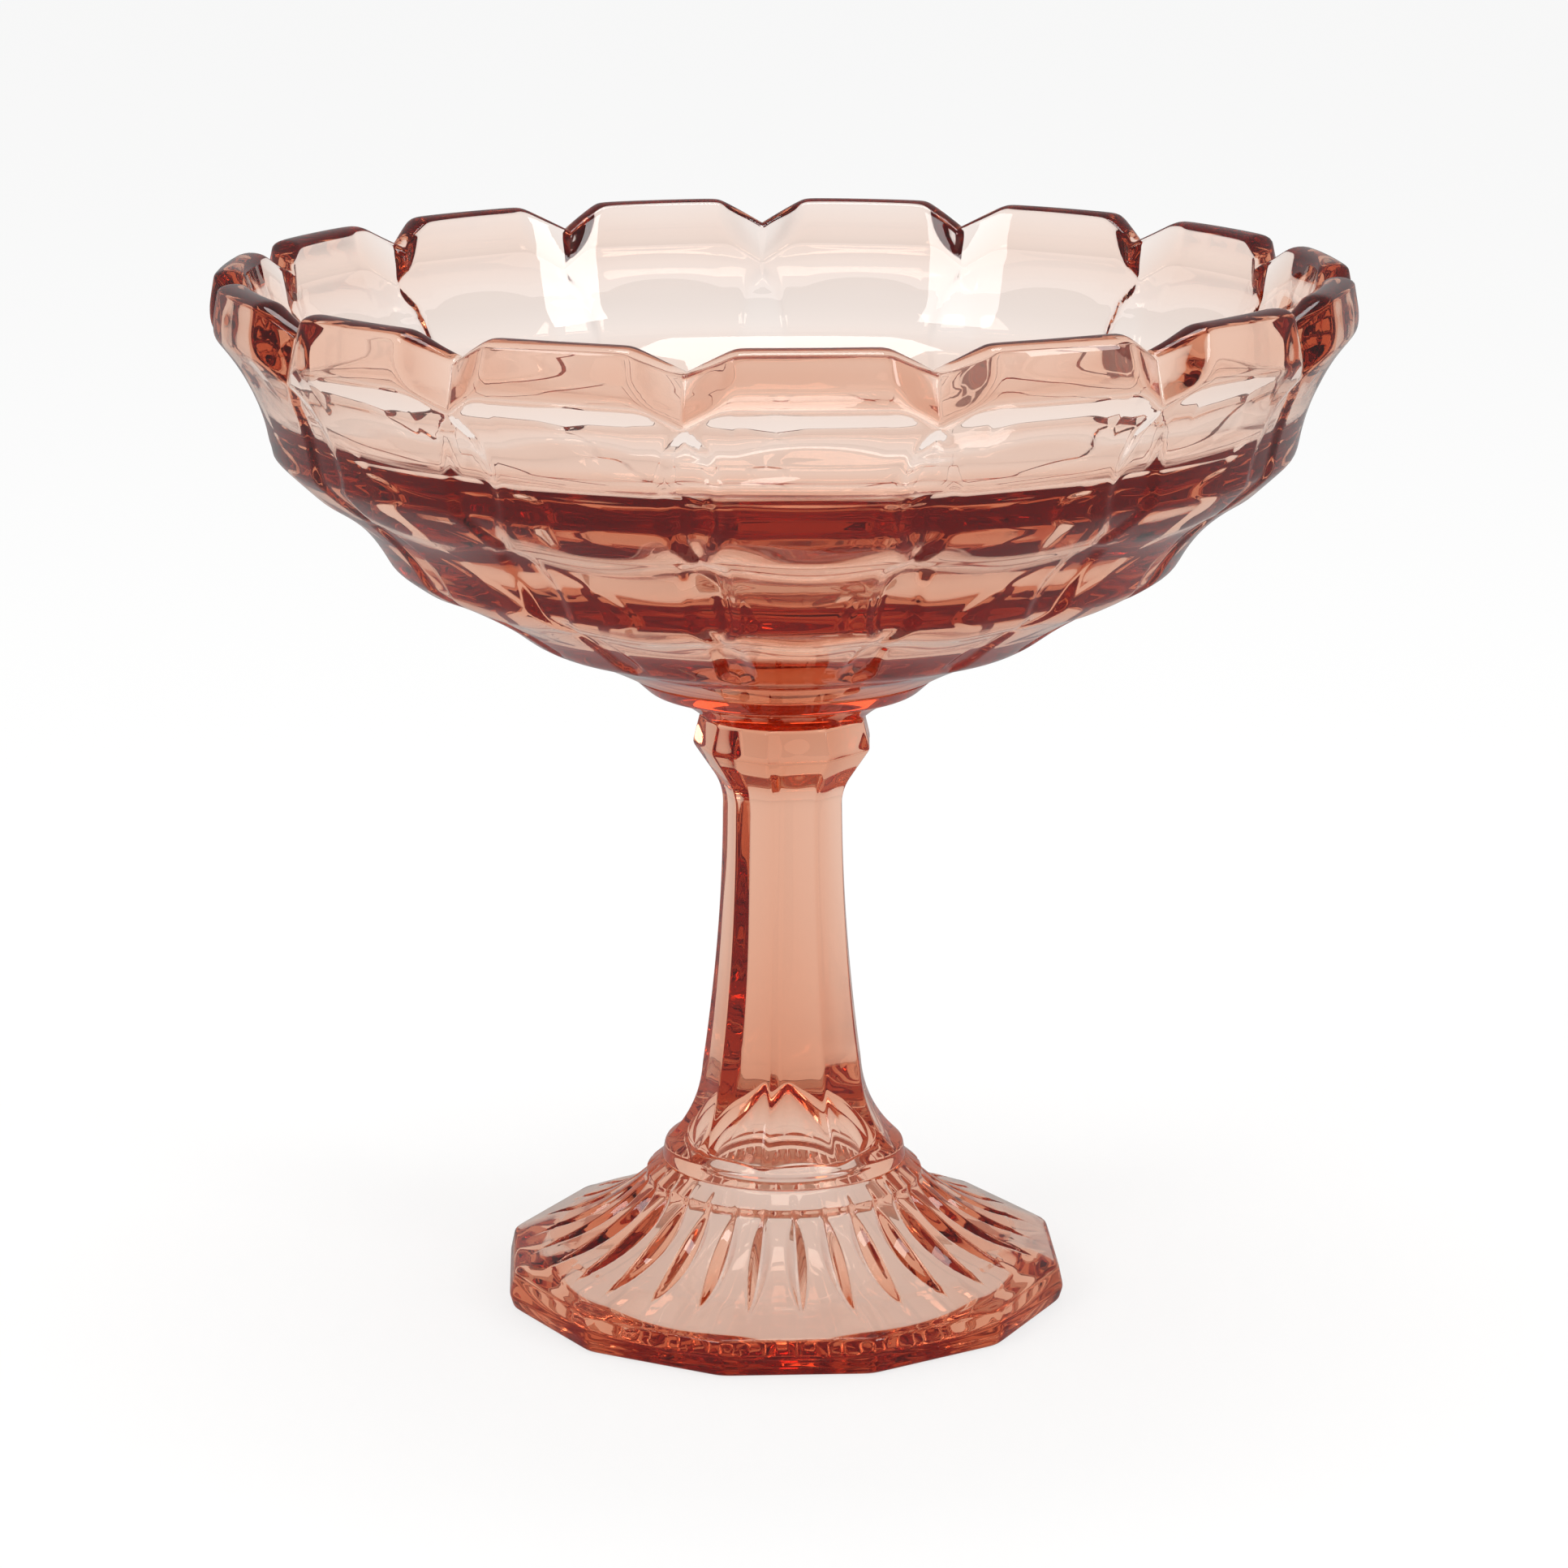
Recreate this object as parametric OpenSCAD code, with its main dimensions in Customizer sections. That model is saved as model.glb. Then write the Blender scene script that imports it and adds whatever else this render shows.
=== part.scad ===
// Footed compote bowl in pressed pink glass, millimetres, +Z up, standing on z = 0.
// Four glass pieces stacked on one axis: foot, stem, wafer and bowl.

/* [Rim] */
// Panels round the bowl
panel_n = 15; // [9:3:24]
// Turn of the bowl about its axis, in degrees
bowl_turn = 0; // [-12:0.1:12]
// Height of the upright band round the rim
rim_band_h = 9.7; // [6:0.1:14]
// Swell of the rim band beyond the top of the first cove
rim_swell = 0.4; // [0.1:0.1:1.5]
// Amount the band leans in again at its top edge
rim_lean = 1.1; // [0.2:0.1:3]
// Glass left between the rim band and the inside of the bowl
rim_wall = 8.4; // [6.4:0.1:11]
// Glass left at the top edge in the middle of a panel
lip_wall = 3.6; // [2.4:0.1:5.5]

/* [Rim notches] */
// Depth of the notch between two panels, below the top edge
notch_drop = 4.6; // [2:0.1:7]
// Half width of the notch at the top edge
notch_half_w = 8.8; // [4:0.1:11]
// Depth of the upright groove at the bottom of the notch
groove_depth = 5.3; // [2:0.1:6]
// Angle between the two sides of the groove, in degrees
groove_angle = 121; // [90:1:140]
// Lean of the groove, which runs out below the band, in degrees
groove_lean = 14.7; // [8:0.1:22]

/* [Bowl tiers] */
// Radius of the flat seat under the bowl
seat_r = 28.7; // [22:0.1:36]
// Rise of the plain cove above the seat
base_rise = 7.6; // [5:0.1:11]
// Spread of the plain cove above the seat
base_out = 18.6; // [14:0.1:24]
// Rise of the third tier's bevel
bevel3_rise = 1.5; // [0.8:0.1:3]
// Spread of the third tier's bevel
bevel3_out = 2.2; // [1:0.1:4]
// Rise of the third tier's cove
tier3_rise = 8.9; // [6:0.1:13]
// Spread of the third tier's cove
tier3_out = 17.9; // [13:0.1:22]
// Rise of the second tier's bevel
bevel2_rise = 4.8; // [3:0.1:7]
// Spread of the second tier's bevel
bevel2_out = 6.1; // [4:0.1:9]
// Rise of the second tier's cove
tier2_rise = 13.7; // [10:0.1:18]
// Spread of the second tier's cove
tier2_out = 12.9; // [9:0.1:17]
// Rise of the first tier's bevel
bevel1_rise = 8.2; // [5:0.1:11]
// Spread of the first tier's bevel
bevel1_out = 7.9; // [5:0.1:11]
// Rise of the first tier's cove, up to the rim band
tier1_rise = 21.9; // [16:0.1:28]
// Spread of the first tier's cove
tier1_out = 10.6; // [7:0.1:14]
// Hollow of the four coves below a straight line, from the rim down
cove_sag = [2.1, 1.3, 0.6, 0.6]; // [0.1:0.1:3]
// Depth of the pointed channels between the panels
rib_depth = 1.1; // [0.4:0.1:1.8]
// Half width of the channels at the lips of the three tiers, from the rim down
rib_half_w = [6.2, 4.6, 3.4]; // [2:0.1:8]

/* [Bowl inside] */
// Glass in the middle of the floor
floor_wall = 9.5; // [7:0.1:13]
// Height of the glass over the third tier's lip
knee_wall = 7.6; // [5.5:0.1:13]
// Hollow of the inside wall below a straight line
inside_sag = 4.8; // [3:0.1:6.5]

/* [Wafer] */
// Height of the wafer that joins the bowl to the stem
wafer_h = 8.1; // [5:0.1:12]
// Height of the rounded edge of the wafer
wafer_edge_h = 3; // [1.5:0.1:4]
// Amount the rounded edge comes in
wafer_edge_in = 3.3; // [1:0.1:5]
// Hollow of the wafer's underside
wafer_sag = 0.8; // [0.2:0.1:1.5]

/* [Stem] */
// Flat sides round the stem
stem_sides = 9; // [7:1:12]
// Turn of the stem about its axis, in degrees
stem_turn = 1.4; // [-20:0.1:20]
// Height of the stem
stem_h = 86.8; // [65:0.1:110]
// Corner radius of the top of the stem
neck_r = 15.9; // [13:0.1:20]
// Corner radius of the collar
collar_r = 17.3; // [15:0.1:22]
// Distance of the collar below the top
collar_drop = 5.6; // [4:0.1:9]
// Height of the bevel under the collar
collar_bevel_h = 6.2; // [4:0.1:9]
// Height of the hollow between that bevel and the waist
waist_fillet_h = 6; // [4:0.1:10]
// Corner radius of the waist, the thinnest place
waist_r = 11.65; // [9:0.1:14]
// Corner radius of the shaft where its flare begins
shaft_foot_r = 15.7; // [13.5:0.1:19]
// Hollow of the turn between the bevel and the waist
waist_sag = 0.5; // [0.2:0.05:1]
// Hollow of the long taper
shaft_sag = 0.9; // [0.3:0.05:1.5]
// Height of the flare above the base of the stem
flare_h = 18; // [14:0.1:24]
// Hollow of the flare
flare_sag = 1.6; // [0.5:0.1:2.5]
// Corner radius of the flare at its toe
toe_r = 22.8; // [20:0.1:26]
// Height of the round base below the toe
toe_h = 3; // [2:0.1:5]
// Radius of the base that sits on the foot
stem_base_r = 23.3; // [20:0.1:26]

/* [Foot] */
// Straight sides round the foot
foot_sides = 12; // [8:1:12]
// Corner radius of the foot at its widest
foot_r = 54.7; // [45:0.1:62]
// Height of the upright edge
edge_h = 6.7; // [5:0.1:9]
// Height of the lower bevel of that edge
edge_bevel_h = 2.6; // [1:0.1:4]
// Amount the edge comes in at its top
edge_in = 0.9; // [0.2:0.1:2]
// Amount the lower bevel comes in at the table
edge_bevel_in = 0.7; // [0.2:0.1:2]
// Width of the plain margin between edge and flutes
margin_w = 8; // [5:0.1:11]
// Slope of that margin, in degrees
margin_slope = 24; // [18:0.5:32]
// Height of the foot up to the base of the stem
foot_h = 25.6; // [21:0.1:32]
// Radius of the ring under the stem
ring_r = 26.4; // [24:0.1:30]
// Height of the ring
ring_h = 4; // [3:0.1:6]
// Hollow of the fluted skirt
skirt_sag = 1.25; // [0.5:0.05:2]
// Flutes round the skirt
flute_n = 30; // [18:3:36]
// Turn of the flutes about the axis, in degrees
flute_turn = 1.5; // [-6:0.1:6]
// Run of the flute grooves into the plain margin
flute_run = 2.3; // [1:0.1:4]
// Depth of the flute grooves at the ring
flute_depth = 0.5; // [0.2:0.1:1]
// Hollow of the groove bottoms, more than the skirt's, so that they widen on the way out
flute_sag = 2.7; // [1.8:0.1:3]
// Angle between the sides of a flute groove, in degrees
flute_angle = 105; // [80:1:130]

/* [Hollow] */
// Width of the flat ring that the foot stands on
rest_w = 9; // [5:0.1:12]
// Radius of the hollow where it goes up into the stem
throat_r = 15.5; // [12:0.1:17]
// Amount by which the foot's wall swells into the hollow
hollow_sag = 4; // [1:0.1:5]
// Height of the hollow above the base of the stem
dome_h = 15.6; // [8:0.1:18]
// Bulge of the dome that closes the hollow
dome_sag = 1.5; // [0.5:0.1:2]

/* [Hidden] */
$fn = 96;
over = 1;                    // how far a cutter runs past what it cuts
big = 400;                   // larger than the whole bowl
glass_pink = [0.86, 0.66, 0.57, 0.85];
glass_deep = [0.80, 0.55, 0.45, 0.85];

panel_step = 360 / panel_n;
bowl_z = foot_h + stem_h + wafer_h;
stem_top_z = foot_h + stem_h;

// Corners of the bowl's outside as [radius, height over the seat], seat first
seat_p  = [seat_r, 0];
base_p  = seat_p + [base_out, base_rise];
lip3_p  = base_p + [bevel3_out, bevel3_rise];
cove3_p = lip3_p + [tier3_out, tier3_rise];
lip2_p  = cove3_p + [bevel2_out, bevel2_rise];
cove2_p = lip2_p + [tier2_out, tier2_rise];
lip1_p  = cove2_p + [bevel1_out, bevel1_rise];
band_p  = lip1_p + [tier1_out, tier1_rise];
rim_z   = band_p[1] + rim_band_h;
rim_r   = band_p[0] + rim_swell;

// Corners of the bowl's inside
floor_p = [0, floor_wall];
knee_p  = lip3_p + [bevel3_out, knee_wall];
wall_p  = [band_p[0] - rim_wall, band_p[1]];
floor_sag = (knee_p[1] - floor_wall) / 4;

// The notch apex, and the groove below it, which shares its bottom point
notch_p = [rim_r - groove_depth, rim_z - notch_drop];

// Where that groove, going down and out, leaves the glass in the first cove
groove_dir = [tan(groove_lean), -1];
groove_from = notch_p - arc_c(band_p, lip1_p, cove_sag[0]);
groove_mid = groove_from * groove_dir;
groove_gap = groove_from * groove_from - arc_r(band_p, lip1_p, cove_sag[0]) ^ 2;
groove_run = (-groove_mid - sqrt(groove_mid ^ 2 - groove_dir * groove_dir * groove_gap))
    / (groove_dir * groove_dir);
groove_end_p = notch_p + groove_run * groove_dir;

// The margin rises from the edge of the foot, and the skirt goes on to the ring
edge_r = foot_r - edge_in;
margin_p = [edge_r * cos(180 / foot_sides) - margin_w, edge_h + margin_w * tan(margin_slope)];
ring_p = [ring_r, foot_h - ring_h];
flute_tip_p = margin_p + flute_run * [1, -tan(margin_slope)];

// Circle through p and q that dips s to the right of the way from p to q
function arc_r(p, q, s) = (norm(q - p) ^ 2 / 4 + s ^ 2) / (2 * s);
function right_of(p, q) = [(q - p)[1], -(q - p)[0]] / norm(q - p);
function arc_c(p, q, s) = (p + q) / 2 + right_of(p, q) * (s - arc_r(p, q, s));

module hollow(p, q, s) {
    translate(arc_c(p, q, s)) circle(abs(arc_r(p, q, s)), $fn = 180);
}

module around(n, turn = 0) {
    for (i = [0:n - 1]) rotate([0, 0, -90 + turn + i * 360 / n]) children();
}

// Stands a drawing of [across, height] up and carries it outwards from radius r
module outwards(r, reach) {
    translate([r, 0, 0]) rotate([90, 0, 90]) linear_extrude(reach) children();
}

// Bowl

module bowl_outline() {
    difference() {
        polygon([
            [0, 0], seat_p, base_p, lip3_p, cove3_p, lip2_p, cove2_p, lip1_p, band_p,
            [rim_r, band_p[1] + rim_band_h / 3], [rim_r - rim_lean, rim_z], [0, rim_z]
        ]);
        hollow(band_p, lip1_p, cove_sag[0]);
        hollow(cove2_p, lip2_p, cove_sag[1]);
        hollow(cove3_p, lip3_p, cove_sag[2]);
        hollow(base_p, seat_p, cove_sag[3]);
    }
}

module inside_outline() {
    intersection() {
        translate([0, floor_wall]) square([wall_p[0], rim_z]);
        union() {
            translate([0, wall_p[1]]) square([wall_p[0], rim_band_h + over]);
            polygon([[0, wall_p[1]], floor_p, knee_p, wall_p]);
            intersection() {
                hollow(wall_p, knee_p, -inside_sag);
                translate([0, knee_p[1]]) square([wall_p[0], wall_p[1] - knee_p[1]]);
            }
            intersection() {
                hollow(knee_p, floor_p, -floor_sag);
                square([knee_p[0], knee_p[1]]);
            }
        }
    }
}

// Channel between two panels: a pointed arch in each tier that closes over the bevel below
module rib_shape(tip_z, lip_z, low_z, w) {
    lift = rib_depth / 2;
    shoulder = [w * 0.75, (tip_z + lip_z) / 2];
    side = [[w / 3, low_z + lift], [w, lip_z + lift], shoulder];
    polygon(concat(side, [[0, tip_z]], [for (i = [2:-1:0]) [-side[i][0], side[i][1]]]));
}

module ribs() {
    intersection() {
        union() around(panel_n, panel_step / 2) outwards(lip3_p[0] / 2, big) {
            rib_shape(groove_end_p[1] + over / 2, lip1_p[1], cove2_p[1], rib_half_w[0]);
            rib_shape(cove2_p[1] + over, lip2_p[1], cove3_p[1], rib_half_w[1]);
            rib_shape(cove3_p[1] + over, lip3_p[1], base_p[1], rib_half_w[2]);
        }
        rotate_extrude() difference() {
            square([rim_r + over, band_p[1]]);
            translate([-rib_depth, 0]) bowl_outline();
        }
    }
}

module notches() {
    open = 1 + over / notch_drop;
    around(panel_n, panel_step / 2) {
        outwards(wall_p[0] - 2 * over, rim_wall + 4 * over)
            polygon([[0, notch_p[1]], [notch_half_w * open, rim_z + over],
                     [-notch_half_w * open, rim_z + over]]);
        translate([notch_p[0], 0, notch_p[1]]) rotate([0, -groove_lean, 0])
            linear_extrude(4 * rim_band_h, center = true)
                polygon([[0, 0], [big / 8, big / 8 * tan(groove_angle / 2)],
                         [big / 8, -big / 8 * tan(groove_angle / 2)]]);
    }
}

// Slanted flat inside each panel of the rim, which thins the top edge
module inner_flats() {
    top_r = rim_r - rim_lean - lip_wall;
    depth = top_r - wall_p[0] - over / 4;
    slant = atan2(depth, rim_band_h - over / 2);
    reach = depth / sin(slant);
    half_w = top_r * tan(panel_step / 2) - notch_half_w;
    side = half_w + depth * tan(groove_angle / 2);
    around(panel_n)
        translate([top_r, 0, rim_z]) rotate([0, slant, 0])
            translate([0, 0, -reach]) linear_extrude(reach + over)
                polygon([[0, -half_w], [0, half_w], [-depth, side], [-2 * depth, side],
                         [-2 * depth, -side], [-depth, -side]]);
}

module bowl() {
    color(glass_pink) translate([0, 0, bowl_z]) rotate([0, 0, bowl_turn])
    difference() {
        rotate_extrude() difference() {
            bowl_outline();
            inside_outline();
        }
        notches();
        inner_flats();
        ribs();
    }
}

// Wafer

module wafer() {
    top = [seat_r, wafer_h];
    edge = [seat_r - wafer_edge_in, wafer_h - wafer_edge_h];
    base = [neck_r, 0];
    color(glass_deep) translate([0, 0, stem_top_z]) rotate_extrude() difference() {
        polygon([[0, 0], base, edge, top, [0, wafer_h]]);
        hollow(edge, base, wafer_sag);
    }
}

// Stem

// Points along the circle through p and q, without p
function arc_pts(p, q, s, n) = let (c = arc_c(p, q, s), r = arc_r(p, q, s), m = right_of(p, q),
        u = (q - p) / norm(q - p), half = asin(norm(q - p) / 2 / r))
    [for (i = [1:n]) let (a = half * (2 * i / n - 1)) c + m * r * cos(a) + u * r * sin(a)];

// Flat-sided shaft from the toe of the flare up through the waist and the collar
module shaft() {
    collar_z = stem_h - collar_drop;
    bevel_p = [waist_r + (collar_r - waist_r) / 4, collar_z - collar_bevel_h];
    waist_p = [waist_r, bevel_p[1] - waist_fillet_h];
    flare_p = [shaft_foot_r, flare_h];
    toe_p = [toe_r, toe_h];
    rotate([0, 0, -90 - 180 / foot_sides + stem_turn]) rotate_extrude(angle = 360, $fn = stem_sides)
        polygon(concat(
        [[0, stem_h], [neck_r, stem_h], [collar_r, collar_z], bevel_p],
        arc_pts(bevel_p, waist_p, waist_sag, 4),
        arc_pts(waist_p, flare_p, shaft_sag, 8),
        arc_pts(flare_p, toe_p, flare_sag, 6),
        [[0, toe_h]]
    ));
}

// Round base under the flat sides, which it joins inside the shaft
module stem_base() {
    rotate_extrude()
        polygon([[0, 0], [stem_base_r, 0], [toe_r, toe_h], [waist_r, flare_h / 2], [0, flare_h / 2]]);
}

// Hollow left by the plunger, from the table through the foot to a dome in the stem
module bore() {
    rest_p = [(foot_r - edge_bevel_in) * cos(180 / foot_sides) - rest_w, 0];
    throat_p = [throat_r, foot_h - ring_h / 2];
    dome_p = [0, foot_h + dome_h];
    rotate_extrude() polygon(concat(
        [[0, -over], rest_p - [0, over], rest_p],
        arc_pts(rest_p, throat_p, -hollow_sag, 6),
        arc_pts(throat_p, dome_p, dome_sag, 6)
    ));
}

module stem() {
    color(glass_pink) difference() {
        translate([0, 0, foot_h]) {
            shaft();
            stem_base();
        }
        bore();
    }
}

// Foot

module foot_edge() {
    rotate([0, 0, -90 + 180 / foot_sides]) rotate_extrude(angle = 360, $fn = foot_sides)
        polygon([[0, 0], [foot_r - edge_bevel_in, 0], [foot_r, edge_bevel_h], [edge_r, edge_h],
                 [margin_p[0] / cos(180 / foot_sides), margin_p[1]], [0, margin_p[1]]]);
}

// Round skirt, which laps a little over the straight sides of the margin
module skirt() {
    toe_p = margin_p + [over / 4, 0];
    rotate_extrude() difference() {
        polygon([[0, edge_bevel_h], [toe_p[0], edge_bevel_h], toe_p, ring_p, [ring_r, ring_p[1] + ring_h / 3],
                 [stem_base_r, foot_h], [0, foot_h]]);
        hollow(ring_p, toe_p, skirt_sag);
    }
}

// Groove between two flutes, widest below the middle of the skirt and run out at its tip
module flute_groove() {
    from = ring_p - [0, flute_depth];
    tip = flute_tip_p;
    c = arc_c(from, tip, flute_sag);
    r = arc_r(from, tip, flute_sag);
    a0 = atan2(from[1] - c[1], from[0] - c[0]);
    a1 = atan2(tip[1] - c[1], tip[0] - c[0]);
    top = 2 * flute_sag;
    translate([c[0], 0, c[1]]) rotate([90, 0, 0]) rotate([0, 0, a0]) rotate_extrude(angle = a1 - a0)
        polygon([[r, 0], [r - top, top * tan(flute_angle / 2)], [r - top, -top * tan(flute_angle / 2)]]);
}

module foot() {
    color(glass_pink) difference() {
        union() {
            foot_edge();
            skirt();
        }
        around(flute_n, flute_turn) flute_groove();
        bore();
    }
}

foot();
stem();
wafer();
bowl();
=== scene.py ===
"""Footed compote bowl in pressed pink glass, on a pale floor in soft studio light.

The four glass pieces of the frame, foot, stem, wafer and bowl, are rebuilt here as closed and
finely gridded surfaces with rounded edges, because glass shows its shape by how it bends light.
Shapes are worked out in millimetres over the table and scaled to metres when a mesh is made.
Angles are measured from the front, -Y, towards +X.
"""

import logging
import math
from dataclasses import dataclass
from enum import Enum

import bpy
import numpy as np
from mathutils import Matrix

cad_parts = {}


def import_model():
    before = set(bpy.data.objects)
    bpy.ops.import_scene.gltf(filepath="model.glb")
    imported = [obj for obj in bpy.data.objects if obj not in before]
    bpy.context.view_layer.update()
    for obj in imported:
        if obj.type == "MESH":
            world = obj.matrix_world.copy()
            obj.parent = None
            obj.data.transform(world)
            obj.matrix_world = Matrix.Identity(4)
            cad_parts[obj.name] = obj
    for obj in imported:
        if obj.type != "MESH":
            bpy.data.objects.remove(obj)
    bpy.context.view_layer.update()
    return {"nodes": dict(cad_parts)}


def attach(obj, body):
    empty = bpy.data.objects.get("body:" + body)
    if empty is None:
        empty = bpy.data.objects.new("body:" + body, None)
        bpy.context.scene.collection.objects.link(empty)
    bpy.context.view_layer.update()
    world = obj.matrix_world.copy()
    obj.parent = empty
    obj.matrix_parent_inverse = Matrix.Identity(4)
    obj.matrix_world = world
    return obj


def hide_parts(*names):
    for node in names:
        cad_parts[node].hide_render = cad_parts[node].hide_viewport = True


log = logging.getLogger("compote")
Array = np.ndarray
Point = tuple[float, float]  # radius and height, or another pair of measures
Place = tuple[float, float, float]  # x, y and z, or another three measures

MM = 0.001
GAP = 0.01  # half of the hairline between two pieces, in millimetres
LEVEL = 0.003  # how near to a joint's plane the points of a fused face lie, in millimetres
DISC = np.array([0.02, 0.5, 0.9, 0.99])  # radii of the rings in a flat disc, as shares of its own
BAND = np.array([[0.02], [0.3], [0.7], [0.97]])  # places of the rings in a flat ring, as shares
SWELL_ROUNDS = (2, 17)  # fewest swells round a piece, and one more than the most
SWELL_RATES = (0.05, 0.22)  # slowest and quickest swell along a piece, in radians per millimetre
POLISH_GRAIN = 35.0  # worn patches to the metre
POLISH_RANGE = (0.45, 0.75)  # values of the noise where the wear begins and where it is full


class Closing(Enum):
    """How the first and the last ring of a skin are closed."""

    FANS = "a fan over each"
    LOOP = "the last joined to the first"


# Curves and grids


def dipped(p: Point, q: Point, sag: float, count: int = 40) -> Array:
    """Curve from p to q as [radius, height]: the chord plus a parabola that dips sag to its right.

    Args:
        p: First point.
        q: Last point.
        sag: Dip half-way, to the right of the way from p to q.
        count: Number of points.

    Returns:
        The points, one row each.
    """
    start, end = np.asarray(p, float), np.asarray(q, float)
    way = end - start
    right = np.array([way[1], -way[0]]) / np.hypot(*way)
    t = np.linspace(0.0, 1.0, count)[:, None]
    return start + t * way + 4.0 * sag * t * (1.0 - t) * right


def rounded(curve: Array, soft: float, step: float = 0.1) -> Array:
    """Curve with its corners rounded: even points along it, averaged with a bell of width soft.

    Args:
        curve: Points of the sharp curve.
        soft: Width of the bell in millimetres, about a third of a right angle's radius.
        step: Distance between the new points.

    Returns:
        The smooth points, with both ends where they were.
    """
    length = np.concatenate([[0.0], np.cumsum(np.hypot(*np.diff(curve, axis=0).T))])
    s = np.linspace(0.0, length[-1], int(length[-1] / step) + 1)
    fine = np.stack([np.interp(s, length, curve[:, k]) for k in (0, 1)], axis=-1)
    reach = int(4.0 * soft / step)
    bell = np.exp(-0.5 * (np.arange(-reach, reach + 1) * step / soft) ** 2)
    ends = (2.0 * fine[0] - fine[reach:0:-1], fine, 2.0 * fine[-1] - fine[-2 : -reach - 2 : -1])
    wide = np.concatenate(ends)
    return np.stack([np.convolve(wide[:, k], bell / bell.sum(), "valid") for k in (0, 1)], axis=-1)


def spread(curve: Array, count: int, bend: float = 4.0) -> Array:
    """Fewer points along a curve, closer together where it bends.

    Each stretch costs its length plus bend times the angle it turns by, and the points that are
    kept lie at even steps of the summed cost.

    Args:
        curve: Closely spaced points.
        count: Number of points to keep.
        bend: Millimetres that one radian of turning is worth.

    Returns:
        The kept points, with both ends.
    """
    way = np.diff(curve, axis=0)
    heading = np.unwrap(np.arctan2(way[:, 1], way[:, 0]))
    turn = np.abs(np.diff(heading, prepend=heading[0]))
    cost = np.concatenate([[0.0], np.cumsum(np.hypot(*way.T) + bend * turn)])
    even = np.linspace(0.0, cost[-1], count)
    return np.stack([np.interp(even, cost, curve[:, k]) for k in (0, 1)], axis=-1)


def soft_min(a: Array, b: Array, soft: float) -> Array:
    """Smaller of two surfaces, rounded off where they cross: half the sum less the rounded gap."""
    return 0.5 * (a + b - np.sqrt((a - b) ** 2 + soft * soft))


def soft_max(a: Array, b: Array, soft: float) -> Array:
    """Larger of two surfaces, rounded off where they cross."""
    return -soft_min(-a, -b, soft)


def ramp(x: Array) -> Array:
    """Smooth step from 0 to 1 as x goes from 0 to 1: 3 x squared less 2 x cubed."""
    t = np.clip(x, 0.0, 1.0)
    return t * t * (3.0 - 2.0 * t)


def around(columns: int) -> Array:
    """Evenly spaced angles of a number of columns, in radians."""
    return np.linspace(0.0, 2.0 * np.pi, columns, endpoint=False)


def sided(theta: Array, sides: int, turn: float, power: float) -> Array:
    """Radius of a rounded regular polygon whose flats lie at 1 from the middle.

    One over the power norm of the cosines towards each flat; a high power gives sharp corners.

    Args:
        theta: Angles in radians.
        sides: Number of flats.
        turn: Angle of the first flat's middle in radians.
        power: Sharpness of the corners.

    Returns:
        The radius at each angle.
    """
    flats = turn + np.arange(sides) * 2.0 * np.pi / sides
    toward = np.clip(np.cos(theta[..., None] - flats), 0.0, None)
    return (toward**power).sum(axis=-1) ** (-1.0 / power)


def from_nearest(theta: Array, count: int, turn: float) -> Array:
    """Angle from the nearest of count evenly spaced directions, the first of them at turn."""
    step = 2.0 * np.pi / count
    return (theta - turn + step / 2.0) % step - step / 2.0


def waves(theta: Array, along: Array, seed: int, sines: int = 6) -> Array:
    """Slow uneven swell of hand-worked glass: sines round and along the piece, about 1 high.

    Args:
        theta: Angles in radians.
        along: Distance along the piece in millimetres.
        seed: Seed of the sines' turns and lengths.
        sines: Number of sines.

    Returns:
        The height of the swell, about -1 to 1, at each pair of angle and distance.
    """
    rng = np.random.default_rng(seed)
    rounds = rng.integers(*SWELL_ROUNDS, sines)
    rates = rng.uniform(*SWELL_RATES, sines)
    starts = rng.uniform(0.0, 2.0 * np.pi, sines)
    terms = np.sin(theta[..., None] * rounds + along[..., None] * rates + starts)
    return terms.sum(axis=-1) / (sines / 2.0)


def turned(theta: Array, radius: Array, height: Array) -> Array:
    """Points at angles, radii and heights: x is r sin, y is -r cos, so that angle 0 faces -Y."""
    theta, radius, height = np.broadcast_arrays(theta, radius, height)
    return np.stack([radius * np.sin(theta), -radius * np.cos(theta), height], axis=-1)


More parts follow.
